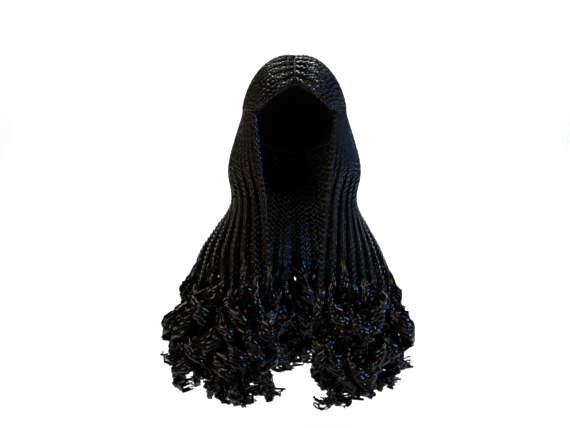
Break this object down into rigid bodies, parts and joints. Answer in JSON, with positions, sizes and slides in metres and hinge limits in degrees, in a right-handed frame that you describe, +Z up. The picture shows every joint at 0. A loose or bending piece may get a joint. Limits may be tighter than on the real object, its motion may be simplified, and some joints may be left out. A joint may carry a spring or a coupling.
{
  "type": "braid wig",
  "caption": "Long black wig of box braids on a stretch cap, parted in the middle, each braid ending in a loose curl.",
  "frame": {"origin": "the inside of the cap at the top of the head, where the wig sits on a head", "axes": "+Z up, the face opening towards -Y, +X to the wearer's left; the hair hangs to -Z"},
  "size_m": [0.3963, 0.2768, 0.549],
  "materials": {
    "cap_net": "matt stretch net",
    "hair_fibre": "fine synthetic fibre with a soft gloss"
  },
  "bodies": {
    "root": {"cap": "cap_net", "left_crown_plaits": "hair_fibre", "right_crown_plaits": "hair_fibre", "left_front_plait_01": "hair_fibre", "left_front_plait_02": "hair_fibre", "left_front_plait_03": "hair_fibre", "left_front_plait_04": "hair_fibre", "left_front_plait_05": "hair_fibre", "left_front_plait_06": "hair_fibre", "left_front_plait_07": "hair_fibre", "left_front_plait_08": "hair_fibre", "left_front_plait_09": "hair_fibre", "left_front_plait_10": "hair_fibre", "left_front_plait_11": "hair_fibre", "left_front_plait_12": "hair_fibre", "left_front_plait_13": "hair_fibre", "left_front_plait_14": "hair_fibre", "left_front_plait_15": "hair_fibre", "left_back_plait_01": "hair_fibre", "left_back_plait_02": "hair_fibre", "left_back_plait_03": "hair_fibre", "left_back_plait_04": "hair_fibre", "left_back_plait_05": "hair_fibre", "left_back_plait_06": "hair_fibre", "left_back_plait_07": "hair_fibre", "left_back_plait_08": "hair_fibre", "right_front_plait_01": "hair_fibre", "right_front_plait_02": "hair_fibre", "right_front_plait_03": "hair_fibre", "right_front_plait_04": "hair_fibre", "right_front_plait_05": "hair_fibre", "right_front_plait_06": "hair_fibre", "right_front_plait_07": "hair_fibre", "right_front_plait_08": "hair_fibre", "right_front_plait_09": "hair_fibre", "right_front_plait_10": "hair_fibre", "right_front_plait_11": "hair_fibre", "right_front_plait_12": "hair_fibre", "right_front_plait_13": "hair_fibre", "right_front_plait_14": "hair_fibre", "right_front_plait_15": "hair_fibre", "right_back_plait_01": "hair_fibre", "right_back_plait_02": "hair_fibre", "right_back_plait_03": "hair_fibre", "right_back_plait_04": "hair_fibre", "right_back_plait_05": "hair_fibre", "right_back_plait_06": "hair_fibre", "right_back_plait_07": "hair_fibre", "right_back_plait_08": "hair_fibre"}
  },
  "joints": []
}
